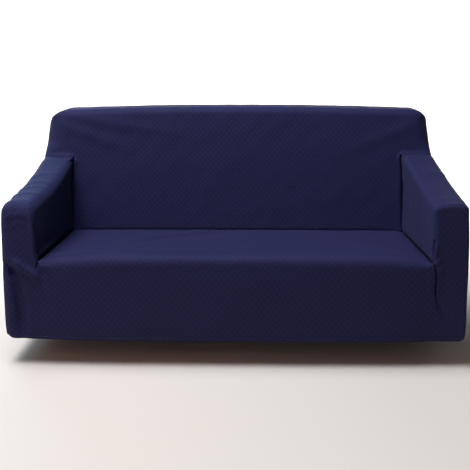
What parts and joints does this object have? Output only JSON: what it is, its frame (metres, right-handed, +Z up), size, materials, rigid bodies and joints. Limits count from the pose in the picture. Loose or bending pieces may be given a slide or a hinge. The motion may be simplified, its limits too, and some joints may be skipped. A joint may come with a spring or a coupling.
{
  "type": "sofa slipcover",
  "caption": "Fitted stretch slipcover for a small sofa: seat with front skirt, inside and outside back, arms and arm fronts, sewn into one hollow cover with an open bottom.",
  "frame": {"origin": "on the underside of the top of the back, at the middle of its length and of its thickness, where the sofa carries the cover", "axes": "+X to the right as seen from in front of the sofa, +Y from the front to the back, +Z up"},
  "size_m": [1.788, 0.85, 0.8506],
  "materials": {
    "stretch_jacquard": "matte knitted stretch cloth with a small raised diamond pattern and a soft sheen"
  },
  "bodies": {
    "root": {"seat_and_skirt": "stretch_jacquard", "inside_back": "stretch_jacquard", "outside_back": "stretch_jacquard", "left_arm": "stretch_jacquard", "right_arm": "stretch_jacquard", "left_arm_front": "stretch_jacquard", "right_arm_front": "stretch_jacquard"}
  },
  "joints": []
}
